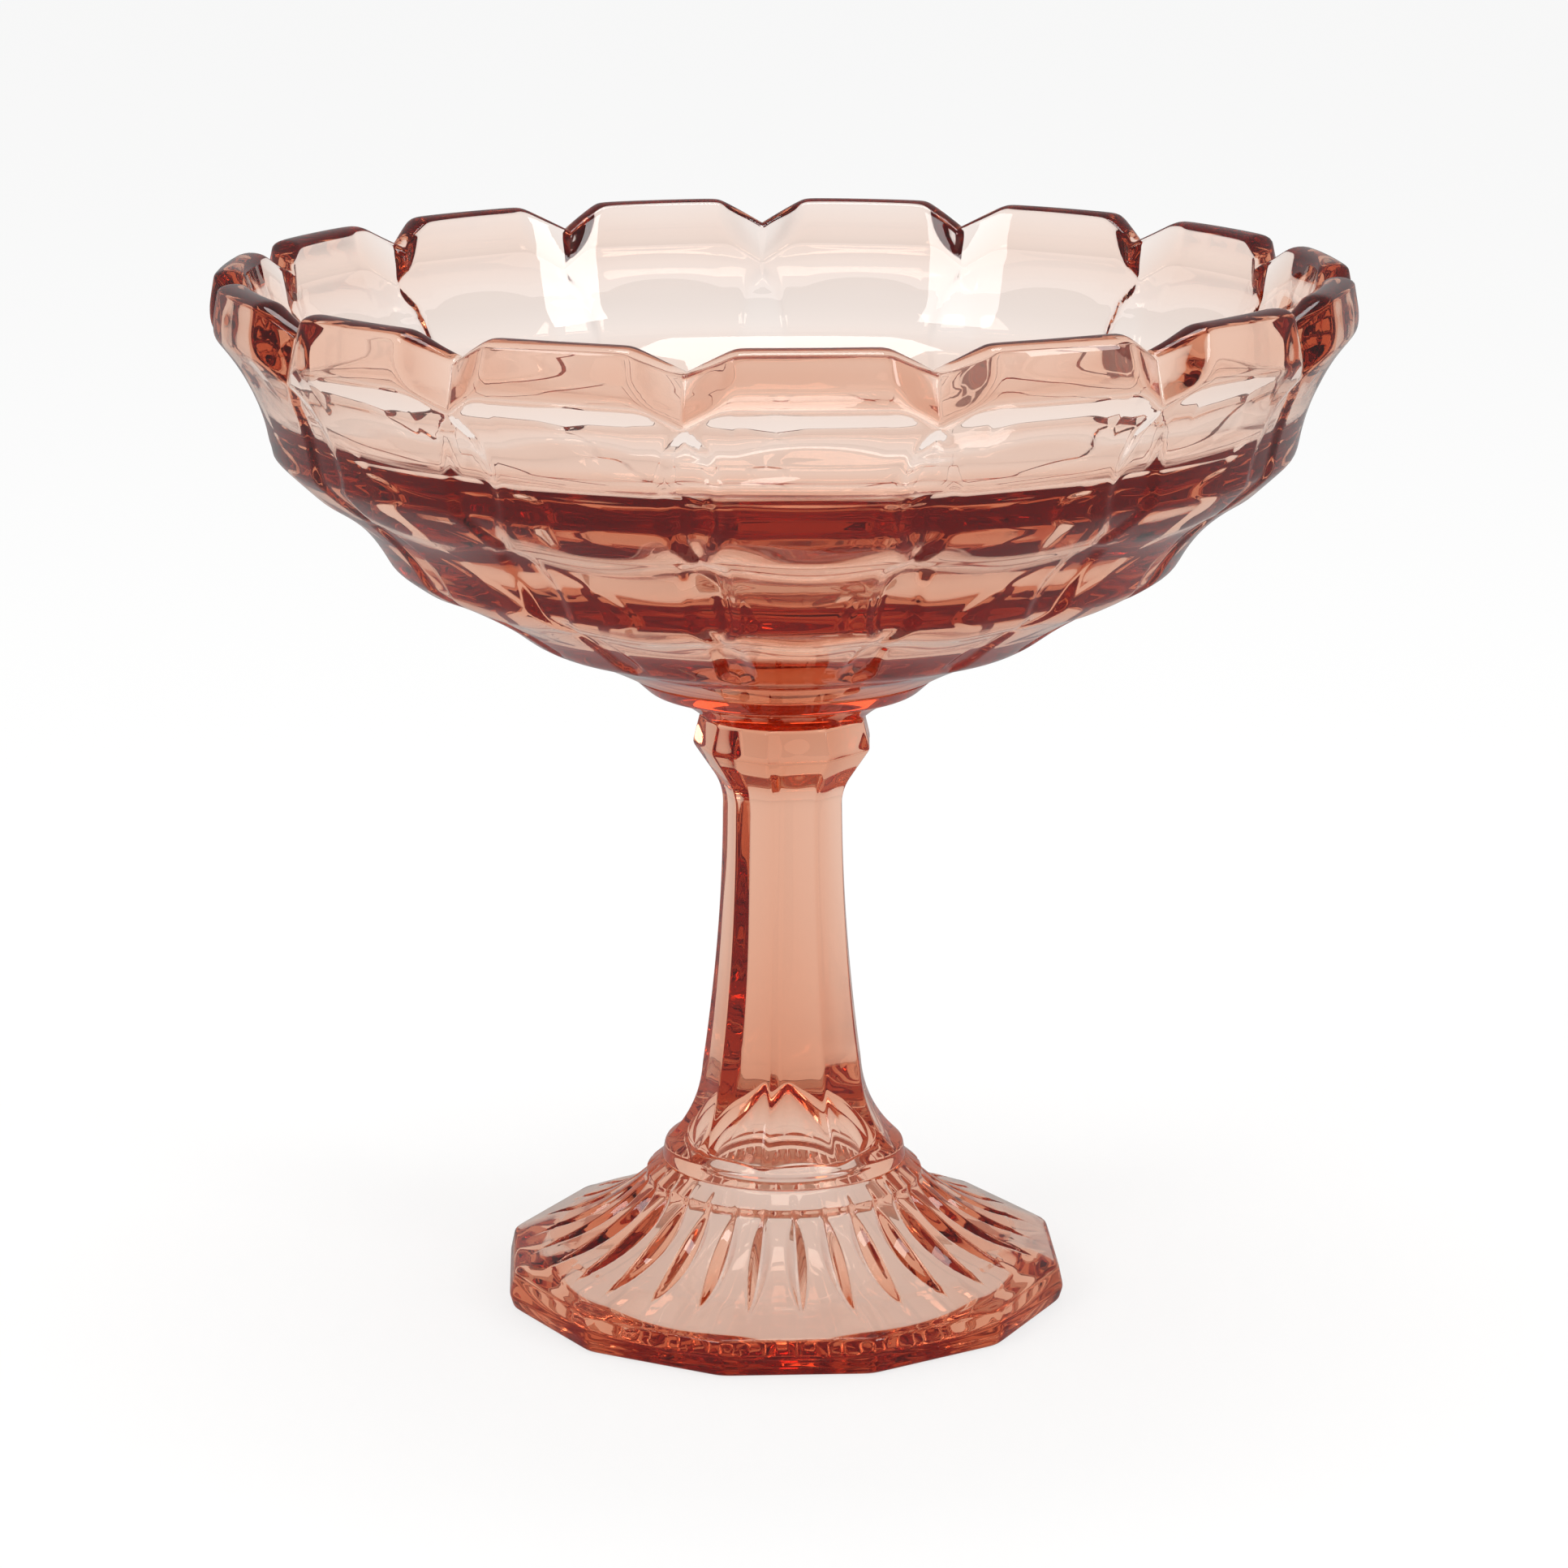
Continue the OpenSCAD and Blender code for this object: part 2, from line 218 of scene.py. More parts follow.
def closed_skin(
    name: str, grid: Array, joints: tuple[float, ...], closing: Closing
) -> bpy.types.Object:
    """Closed mesh from rings of points.

    Faces that lie in a joint's plane get 0 in the attribute skin and all others 1, because the
    glass is fused there and light goes straight on.

    Args:
        name: Name of the piece.
        grid: Rings by columns by three, in millimetres, in their order along the skin.
        joints: Heights of the flat faces that are fused to another piece.
        closing: How the first and the last ring are closed.

    Returns:
        The new object, at the origin and smooth.
    """
    rows, cols, _ = grid.shape
    poles = np.stack([grid[0].mean(axis=0), grid[-1].mean(axis=0)])
    points = np.concatenate([grid.reshape(-1, 3), poles]) * MM
    j = np.arange(cols)
    k = (j + 1) % cols
    last = (rows - 1) * cols
    row = np.arange(rows if closing is Closing.LOOP else rows - 1)[:, None] * cols
    after = (row + cols) % (rows * cols)
    quads = np.stack([row + j, row + k, after + k, after + j], axis=-1).reshape(-1, 4)
    faces = [quads]
    if closing is Closing.FANS:
        faces.append(np.stack([np.full(cols, rows * cols), k, j], axis=-1))
        faces.append(np.stack([np.full(cols, rows * cols + 1), last + j, last + k], axis=-1))
    else:
        points = points[:-2]
    loops = np.concatenate([f.ravel() for f in faces]).astype(np.int32)
    sizes = np.concatenate([np.full(len(f), f.shape[1]) for f in faces])
    starts = np.concatenate([[0], np.cumsum(sizes)[:-1]]).astype(np.int32)
    mesh = bpy.data.meshes.new(name)
    mesh.vertices.add(len(points))
    mesh.vertices.foreach_set("co", points.astype(np.float32).ravel())
    mesh.loops.add(len(loops))
    mesh.loops.foreach_set("vertex_index", loops)
    mesh.polygons.add(len(sizes))
    mesh.polygons.foreach_set("loop_start", starts)
    mesh.polygons.foreach_set("use_smooth", np.ones(len(sizes), bool))
    mesh.update(calc_edges=True)
    level = np.abs(points[:, 2:] / MM - np.array(joints)) < LEVEL
    fused = np.concatenate([level[f].all(axis=1).any(axis=1) for f in faces])
    skin = mesh.attributes.new("skin", "FLOAT", "FACE")
    skin.data.foreach_set("value", 1.0 - fused.astype(np.float32))
    piece = bpy.data.objects.new(name, mesh)
    bpy.context.scene.collection.objects.link(piece)
    return piece


# Finishes


@dataclass(frozen=True)
class PinkGlass:
    """Clear pressed glass, tinted right through, with a faint swell left by the mould.

    Attributes:
        name: Name of the material.
        swell: Height of the swell on the surface in metres.
        grain: Number of swells to the metre.
        haze: Largest roughness left by handling.
        tint: Colour that passes best through the glass.
        depth: Absorption of the glass per metre.
        bend: Index of refraction.
    """

    name: str
    swell: float
    grain: float
    haze: float
    tint: tuple[float, float, float] = (0.80, 0.33, 0.054)
    depth: float = 58.0
    bend: float = 1.52

    @staticmethod
    def skin_group() -> bpy.types.NodeTree:
        """Node group shared by the glass materials: uneven polish and swell from two noises.

        Returns:
            The group, with Grain, Swell and Haze going in and Roughness and Normal coming out.
        """
        group = bpy.data.node_groups.get("Pressed glass skin")
        if group is not None:
            return group
        group = bpy.data.node_groups.new("Pressed glass skin", "ShaderNodeTree")
        for name in ("Grain", "Swell", "Haze"):
            group.interface.new_socket(name, in_out="INPUT", socket_type="NodeSocketFloat")
        group.interface.new_socket("Roughness", in_out="OUTPUT", socket_type="NodeSocketFloat")
        group.interface.new_socket("Normal", in_out="OUTPUT", socket_type="NodeSocketVector")
        nodes, links = group.nodes, group.links
        into, out = nodes.new("NodeGroupInput"), nodes.new("NodeGroupOutput")
        place = nodes.new("ShaderNodeTexCoord")
        swell, polish = nodes.new("ShaderNodeTexNoise"), nodes.new("ShaderNodeTexNoise")
        swell.inputs["Detail"].default_value = 1.0
        polish.inputs["Scale"].default_value = POLISH_GRAIN
        links.new(place.outputs["Object"], swell.inputs["Vector"])
        links.new(place.outputs["Object"], polish.inputs["Vector"])
        links.new(into.outputs["Grain"], swell.inputs["Scale"])
        bump = nodes.new("ShaderNodeBump")
        links.new(swell.outputs["Fac"], bump.inputs["Height"])
        links.new(into.outputs["Swell"], bump.inputs["Distance"])
        links.new(bump.outputs["Normal"], out.inputs["Normal"])
        worn = nodes.new("ShaderNodeMapRange")
        worn.inputs["From Min"].default_value = POLISH_RANGE[0]
        worn.inputs["From Max"].default_value = POLISH_RANGE[1]
        links.new(polish.outputs["Fac"], worn.inputs["Value"])
        links.new(into.outputs["Haze"], worn.inputs["To Max"])
        links.new(worn.outputs["Result"], out.inputs["Roughness"])
        return group

    def material(self) -> bpy.types.Material:
        """Material with a clear surface and an even absorption inside.

        Returns:
            The new material.
        """
        made = bpy.data.materials.new(self.name)
        made.use_nodes = True
        tree = made.node_tree
        shader = tree.nodes["Principled BSDF"]
        shader.inputs["Base Color"].default_value = (1.0, 1.0, 1.0, 1.0)
        shader.inputs["IOR"].default_value = self.bend
        shader.inputs["Transmission Weight"].default_value = 1.0
        skin = tree.nodes.new("ShaderNodeGroup")
        skin.node_tree = self.skin_group()
        skin.inputs["Grain"].default_value = self.grain
        skin.inputs["Swell"].default_value = self.swell
        skin.inputs["Haze"].default_value = self.haze
        tree.links.new(skin.outputs["Roughness"], shader.inputs["Roughness"])
        tree.links.new(skin.outputs["Normal"], shader.inputs["Normal"])
        outer = tree.nodes.new("ShaderNodeAttribute")
        outer.attribute_name = "skin"
        tree.links.new(outer.outputs["Fac"], shader.inputs["Alpha"])
        inside = tree.nodes.new("ShaderNodeVolumeAbsorption")
        inside.inputs["Color"].default_value = (*self.tint, 1.0)
        inside.inputs["Density"].default_value = self.depth
        tree.links.new(inside.outputs["Volume"], tree.nodes["Material Output"].inputs["Volume"])
        return made


def dress(piece: bpy.types.Object, node: str, finish: PinkGlass) -> bpy.types.Object:
    """Gives a piece its glass and puts it in the place of its node.

    Args:
        piece: The new piece.
        node: Node of the frame that the piece stands for.
        finish: Glass that the piece is made of.

    Returns:
        The same piece.
    """
    piece.data.materials.append(finish.material())
    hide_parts(node)
    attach(piece, "root")
    log.info("%s: %d points", piece.name, len(piece.data.vertices))
    return piece


# Pieces


@dataclass
class Bowl:
    """Scalloped and tiered bowl, 15 panels round, with V notches in its rim.

    Heights are over the seat, at base_z. Points are [radius, height], from the seat up.

    Attributes:
        hollows: Sags of the coves: the base, then the third, second and first tier.
        flat_half: Half angle of a panel's flat in degrees.
        flat_end: Angle from the panel's middle where its flat ends, in radians.
        crowds: Extra columns in a panel: how dense, how far from the notch and how wide, in degrees.
        tiers: Heights in each tier of channels, and the half widths of a channel there.
        lobes: Heights of the bevels that bulge in each panel, and how far the bulge reaches.
        rings: Rings of the lower outside, upper outside, crown, upper inside and deep inside.
        seeds: Seeds of the swell outside and inside.
        ripple_from: Radius where the outside swell begins, and the way to its full height.
    """

    base_z: float = 120.5
    panels: int = 15
    seat: Point = (28.7, 0.0)
    base: Point = (47.3, 7.6)
    lip3: Point = (49.5, 9.1)
    cove3: Point = (67.8, 18.9)
    lip2: Point = (73.2, 22.6)
    cove2: Point = (87.2, 36.8)
    lip1: Point = (94.6, 43.8)
    band: Point = (105.1, 66.4)
    belly: Point = (105.3, 69.8)
    rim: Point = (104.2, 76.3)
    knee: Point = (44.0, 18.0)
    shoulder: Point = (90.6, 50.5)
    wall: Point = (95.6, 66.6)
    floor_h: float = 11.0
    hollows: tuple[float, ...] = (0.7, 0.9, 1.7, 2.0)
    cone_hollow: float = -0.6
    lobe: float = 0.25
    lobes: tuple[Point, ...] = ((36.5, 2.5), (18.0, 2.0))
    lip_wall: float = 5.4
    notch_z: float = 71.7
    notch_r: float = 103.0
    notch_half_w: float = 8.8
    notch_soft: float = 0.5
    groove_r: float = 100.0
    groove_lean: float = 14.7
    groove_half: float = 60.5
    groove_soft: float = 0.7
    ridge_soft: float = 0.5
    flat_half: float = 7.0
    flat_end: float = 0.1222
    flat_share: float = 0.5
    flat_run: float = 6.0
    flat_soft: float = 0.25
    channel_depth: float = 0.70
    channel_edge: float = 2.6
    tiers: tuple[tuple[tuple[float, ...], tuple[float, ...]], ...] = (
        ((36.2, 38.0, 45.2, 52.0, 58.5, 62.8), (1.2, 2.6, 6.3, 5.6, 4.2, 0.0)),
        ((17.6, 18.8, 23.4, 30.0, 35.0, 37.2), (1.0, 2.0, 5.2, 5.2, 4.8, 0.0)),
        ((7.8, 8.2, 9.6, 13.0, 17.0, 18.6), (0.8, 1.4, 3.8, 3.8, 3.4, 0.0)),
    )
    edge_soft: float = 1.10
    inside_soft: float = 1.6
    crown: float = 1.5
    split_z: float = 56.0
    columns: int = 40
    crowds: tuple[Place, ...] = ((2.0, 4.8, 1.0), (2.5, 0.0, 0.7), (1.0, 2.6, 1.0))
    rings: tuple[int, ...] = (74, 28, 12, 16, 36)
    seeds: tuple[int, int] = (3, 8)
    ripple: float = 0.05
    ripple_from: Point = (30.0, 8.0)
    ripple_inside: float = 0.06
    calm_r: float = 20.0
    finish: PinkGlass = PinkGlass("bowl glass", swell=4e-5, grain=45.0, haze=0.02, depth=48.0)

    def angles(self, samples: int = 2001) -> tuple[Array, Array, Array]:
        """Column angles, closer together at the notch and at the edges of the panels.

        Args:
            samples: Number of angles at which the density of the columns is summed.

        Returns:
            The angle of each column, from its panel's middle and from its nearest notch, in radians.
        """
        half = 180.0 / self.panels
        fine = np.linspace(-half, half, samples)
        away = half - np.abs(fine)
        dense = np.ones_like(fine)
        for more, place, width in self.crowds:
            dense += more * np.exp(-(((away - place) / width) ** 2))
        total = np.concatenate([[0.0], np.cumsum(0.5 * (dense[1:] + dense[:-1]))])
        even = np.linspace(0.0, total[-1], self.columns + 1)[:-1]
        across = np.radians(np.interp(even, total, fine))
        theta = (around(self.panels)[:, None] + across[None]).ravel()
        phi = np.tile(across, self.panels)
        return theta, phi, np.radians(half) - np.abs(phi)

    def outside_curve(self) -> Array:
        """Outline of the outside from the edge of the seat to the rim, with rounded corners."""
        starts = (self.seat, self.lip3, self.lip2, self.lip1)
        ends = (self.base, self.cove3, self.cove2, self.band)
        coves = [dipped(*cove) for cove in zip(starts, ends, -np.array(self.hollows), strict=True)]
        return rounded(np.concatenate([*coves, [self.belly, self.rim]]), self.edge_soft)

    def inside_curve(self) -> Array:
        """Outline of the inside: down the steep wall, in along a cone, to the middle of the floor."""
        cone = dipped(self.shoulder, self.knee, self.cone_hollow)
        return rounded(np.concatenate([[self.wall], cone, [(0.0, self.floor_h)]]), self.inside_soft)

    def channel(self, across: Array, height: Array) -> Array:
        """Depth of the pointed channels between the panels.

        In each tier a channel opens under a point, is widest at the lip and closes over the bevel
        below. Its depth rises smoothly over channel_edge from its outline inwards.

        Args:
            across: Distance from the middle of the nearest channel in millimetres.
            height: Height over the seat.

        Returns:
            The depth, 0 outside the channels.
        """
        widths = [np.interp(height, z, w, left=0.0, right=0.0) for z, w in self.tiers]
        width = np.max(widths, axis=0)
        inward = (width - np.abs(across)) / self.channel_edge
        return self.channel_depth * ramp(inward) * (width > 0.0)

    def notch(self, away: Array) -> Array:
        """Height of the top edge: level on a panel, and a straight V down to the notch.

        Args:
            away: Angle from the notch in radians.

        Returns:
            The height over the seat.
        """
        top = self.rim[1]
        side = self.notch_z + self.notch_r * np.sin(away) * (top - self.notch_z) / self.notch_half_w
        return soft_min(np.full_like(side, top), side, self.notch_soft)

    def vee(self, bottom: Array, away: Array) -> Array:
        """Radius of a V groove's two flat sides around the line at radius bottom.

        A side leaves the bottom at groove_half from the radius, so r cos a = bottom + r sin a / tan h.

        Args:
            bottom: Radius of the groove's bottom line.
            away: Angle from the groove in radians.

        Returns:
            The radius of the sides.
        """
        return bottom / (np.cos(away) - np.sin(away) / math.tan(math.radians(self.groove_half)))

    def outer_radius(self, height: Array, phi: Array, away: Array, curve: Array) -> Array:
        """Radius of the outside near the rim: the panel, cut by the V groove below the notch.

        Args:
            height: Heights over the seat.
            phi: Angles from the panel's middle in radians.
            away: Angles from the nearest notch in radians.
            curve: Outline of the outside.

        Returns:
            The radius.
        """
        plain = np.interp(height, curve[:, 1], curve[:, 0])
        level = math.cos(math.radians(self.flat_half))
        level = level / np.cos(np.minimum(np.abs(phi), self.flat_end))
        flat = 1.0 - self.flat_share * (1.0 - level)
        run = (self.notch_z - height) * math.tan(math.radians(self.groove_lean))
        groove = self.vee(self.groove_r + run, away)
        weight = ramp((height - self.split_z) / self.flat_run)
        return soft_min(plain * (1.0 - weight + weight * flat), groove, self.groove_soft)

    def inner_radius(self, height: Array, away: Array, curve: Array) -> Array:
        """Radius of the inside near the rim: a slanted flat in each panel, a ridge at each notch.

        Args:
            height: Heights over the seat.
            away: Angles from the nearest notch in radians.
            curve: Outline of the inside.

        Returns:
            The radius.
        """
        plain = np.interp(height, curve[::-1, 1], curve[::-1, 0])
        top = self.rim[0] - self.lip_wall
        slope = (top - self.wall[0]) / (self.rim[1] - self.wall[1])
        flat = self.wall[0] + (height - self.wall[1]) * slope
        ridge = self.vee(np.full_like(height, self.wall[0]), away)
        return soft_max(plain, soft_min(flat, ridge, self.ridge_soft), self.flat_soft)

    def lower(self, outside: Array, theta: Array, phi: Array, away: Array, rings: int) -> Array:
        """Rings of the outside up to split_z, pushed in along its normal by channels and bevels.

        Args:
            outside: Outline of the outside.
            theta: Angle of each column in radians.
            phi: Its angle from the panel's middle.
            away: Its angle from the nearest notch.
            rings: Number of rings.

        Returns:
            The rings, with heights over the seat.
        """
        low = spread(outside[outside[:, 1] <= self.split_z], rings)
        way = np.gradient(low, axis=0)
        normal = np.stack([way[:, 1], -way[:, 0]], axis=-1) / np.hypot(*way.T)[:, None]
        r, z = low[:, :1], low[:, 1:]
        bulge = self.lobe * sum(np.exp(-(((z - place) / reach) ** 2)) for place, reach in self.lobes)
        begin, run = self.ripple_from
        swell = self.ripple * waves(theta + 0.0 * r, 0.0 * theta + r + z, self.seeds[0])
        push = bulge * (np.cos(self.panels * phi) - 1.0) - self.channel(r * np.sin(away), z)
        push = push + swell * ramp((r - begin) / run)
        return turned(theta, r + push * normal[:, :1], z + push * normal[:, 1:])

    def grid(self) -> Array:
        """Rings of the whole skin: seat, outside, rounded rim, inside and floor.

        Returns:
            Rings by columns by three, in millimetres.
        """
        theta, phi, away = self.angles()
        outside, inside = self.outside_curve(), self.inside_curve()
        low, high, round_top, high_in, low_in = self.rings
        seat = turned(theta, self.seat[0] * DISC[:, None], 0.0)
        lower = self.lower(outside, theta, phi, away, low)
        edge = self.notch(away) - self.crown
        t = np.linspace(0.0, 1.0, high)[1:, None]
        height = self.split_z + t * (edge - self.split_z)
        radius = self.outer_radius(height, phi, away, outside)
        radius = radius - self.channel(radius * np.sin(away), height)
        upper = turned(theta, radius, height)
        t = np.linspace(0.0, 1.0, high_in)[:, None]
        height_in = edge + t * (self.split_z - edge)
        radius_in = self.inner_radius(height_in, away, inside)
        inner = turned(theta, radius_in, height_in)
        swing = np.linspace(0.0, np.pi, round_top)[1:-1, None]
        middle, reach = (radius[-1] + radius_in[0]) / 2.0, (radius[-1] - radius_in[0]) / 2.0
        crown = turned(theta, middle + reach * np.cos(swing), edge + self.crown * np.sin(swing))
        deep = spread(inside[inside[:, 1] <= self.split_z], low_in)[1:-1]
        r, z = deep[:, :1], deep[:, 1:]
        wave = self.ripple_inside * waves(theta + 0.0 * r, 0.0 * theta + r + z, self.seeds[1])
        floor = turned(theta, r, z + wave * ramp(r / self.calm_r))
        grid = np.concatenate([seat, lower, upper, crown, inner, floor])
        grid[..., 2] += self.base_z + GAP
        return grid

    def build(self) -> bpy.types.Object:
        """The bowl as one closed piece of glass."""
        skin = closed_skin("glass_bowl", self.grid(), (self.base_z + GAP,), Closing.FANS)
        return dress(skin, "bowl", self.finish)


@dataclass
class Wafer:
    """Smooth disc of glass that joins the bowl to the stem."""

    base_z: float = 112.4
    height: float = 8.1
    neck_r: float = 15.9
    neck_share: float = 0.97
    edge: Point = (25.4, 5.1)
    hollow: float = 0.8
    seat_r: float = 28.7
    edge_soft: float = 0.6
    rings: int = 56
    columns: int = 288
    finish: PinkGlass = PinkGlass("wafer glass", swell=4e-5, grain=60.0, haze=0.02)

    def grid(self) -> Array:
        """Rings from the middle of the underside, out along a shallow hollow, to that of the top."""
        slope = dipped((self.neck_r * self.neck_share, 0.0), self.edge, -self.hollow)
        side = np.concatenate([slope, [[self.seat_r, self.height]]])
        side = spread(rounded(side, self.edge_soft), self.rings)
        below = np.stack([DISC * side[0, 0], 0.0 * DISC], axis=-1)
        above = np.stack([DISC[::-1] * self.seat_r, 0.0 * DISC + self.height], axis=-1)
        curve = np.concatenate([below, side, above])
        height = np.clip(curve[:, 1:], 0.0, self.height)
        height = GAP + height * (self.height - 2.0 * GAP) / self.height
        return turned(around(self.columns), curve[:, :1], height + self.base_z)

    def build(self) -> bpy.types.Object:
        """The wafer as one closed piece of glass."""
        joints = (self.base_z + GAP, self.base_z + self.height - GAP)
        skin = closed_skin("glass_wafer", self.grid(), joints, Closing.FANS)
        return dress(skin, "wafer", self.finish)


@dataclass
class Hollow:
    """Hollow under the foot, which goes up into the stem and ends there in a dome."""

    rest: Point = (43.16, 0.0)
    throat: Point = (15.5, 23.6)
    dome: Point = (0.0, 41.2)
    wall_swell: float = 4.0
    dome_swell: float = 1.5
    soft: float = 1.3

    def curve(self) -> Array:
        """Smooth outline from the rest ring to the top of the dome, which is round at the axis."""
        wall = dipped(self.rest, self.throat, -self.wall_swell)
        half = np.concatenate([wall, dipped(self.throat, self.dome, self.dome_swell)[1:]])
        whole = rounded(np.concatenate([half, half[-2::-1] * [-1.0, 1.0]]), self.soft)
        return whole[whole[:, 0] >= 0.0]


@dataclass
class Stem:
    """Nine-sided stem with a collar, a waist, a flare and a round base, hollow at the bottom.

    Attributes:
        sags: Hollows of the shaft's corners over the toe, the flare and the waist.
        tuck: Point where the round base has gone inside the shaft.
        spans: Stretches of the outside: lowest height, highest height and number of rings.
        top_shares: Radii of the rings in the top, as shares of its own.
        calm: Way from both ends without a swell, and the way to its full height.
    """

    base_z: float = 25.6
    height: float = 86.8
    sides: int = 9
    edge_turn: float = -13.6
    sharpness: float = 110.0
    neck_r: float = 15.9
    collar: Point = (17.3, 81.2)
    bevel: Point = (13.06, 75.0)
    waist: Point = (11.65, 69.0)
    flare: Point = (15.7, 18.0)
    toe: Point = (22.8, 3.0)
    heel_r: float = 22.0
    sags: Place = (1.6, 0.9, 0.5)
    edge_soft: float = 0.45
    base_r: float = 23.3
    tuck: Point = (11.0, 9.0)
    core_r: float = 6.0
    base_soft: float = 0.4
    join_soft: float = 0.1
    spans: tuple[tuple[float, float, int], ...] = (
        (0.2, 9.0, 40),
        (9.0, 24.0, 32),
        (24.0, 66.0, 44),
        (66.0, 86.4, 62),
    )
    top_shares: tuple[float, ...] = (0.98, 0.9, 0.5, 0.02)
    bore_rings: int = 40
    columns: int = 360
    seed: int = 5
    swell: float = 0.04
    inset: float = 0.05
    calm: Point = (1.0, 4.0)
    finish: PinkGlass = PinkGlass("stem glass", swell=5e-5, grain=60.0, haze=0.02)

    def outline(self, theta: Array, height: Array) -> Array:
        """Radius at an angle and height: the flat-sided shaft or the round base, whichever is wider.

        Args:
            theta: Angles in radians.
            height: Heights over the base.

        Returns:
            The radius.
        """
        corners = (self.toe, self.flare, self.waist, self.bevel)
        hollows = zip(corners[:-1], corners[1:], -np.array(self.sags), strict=True)
        sharp = [[(self.heel_r, 0.0)], *(dipped(*hollow) for hollow in hollows)]
        sharp.append([self.collar, (self.neck_r, self.height)])
        corner = rounded(np.concatenate(sharp), self.edge_soft)
        flat_turn = math.radians(self.edge_turn + 180.0 / self.sides)
        across = sided(theta, self.sides, flat_turn, self.sharpness) * math.cos(math.pi / self.sides)
        shaft = np.interp(height, corner[:, 1], corner[:, 0]) * across
        base = np.array([(self.base_r, 0.0), self.toe, self.tuck, (self.core_r, self.height)])
        base = rounded(base, self.base_soft)
        return soft_max(shaft, np.interp(height, base[:, 1], base[:, 0]), self.join_soft)

    def grid(self) -> Array:
        """Rings from the top of the dome to the base, out to its edge and up to the top's middle."""
        theta = around(self.columns)
        bore = Hollow().curve()[::-1]
        bore = bore[bore[:, 1] > self.base_z] - [0.0, self.base_z]
        mouth = bore[-1, 0]
        bore = spread(bore, self.bore_rings)[1:]
        dome = turned(theta, bore[:, :1], self.base_z + np.maximum(bore[:, 1:], GAP))
        base = turned(theta, mouth + BAND * (self.base_r - mouth), self.base_z + GAP)
        levels = np.unique(np.concatenate([np.linspace(*span) for span in self.spans]))
        top = self.height
        share = np.concatenate([np.ones_like(levels), self.top_shares])[:, None]
        height = np.concatenate([levels, [top] * len(self.top_shares)])[:, None]
        radius = share * self.outline(theta + 0.0 * height, height + 0.0 * theta)
        swell = self.swell * waves(theta + 0.0 * height, height + 0.0 * theta, self.seed)
        ends, run = self.calm
        inward = ramp((height - ends) / run) * ramp((top - ends - height) / run)
        height = GAP + height * (top - 2.0 * GAP) / top
        outside = turned(theta, radius + (swell - self.inset) * inward, height + self.base_z)
        return np.concatenate([dome, base, outside])

    def build(self) -> bpy.types.Object:
        """The stem as one closed piece of glass."""
        joints = (self.base_z + GAP, self.base_z + self.height - GAP)
        skin = closed_skin("glass_stem", self.grid(), joints, Closing.FANS)
        return dress(skin, "stem", self.finish)


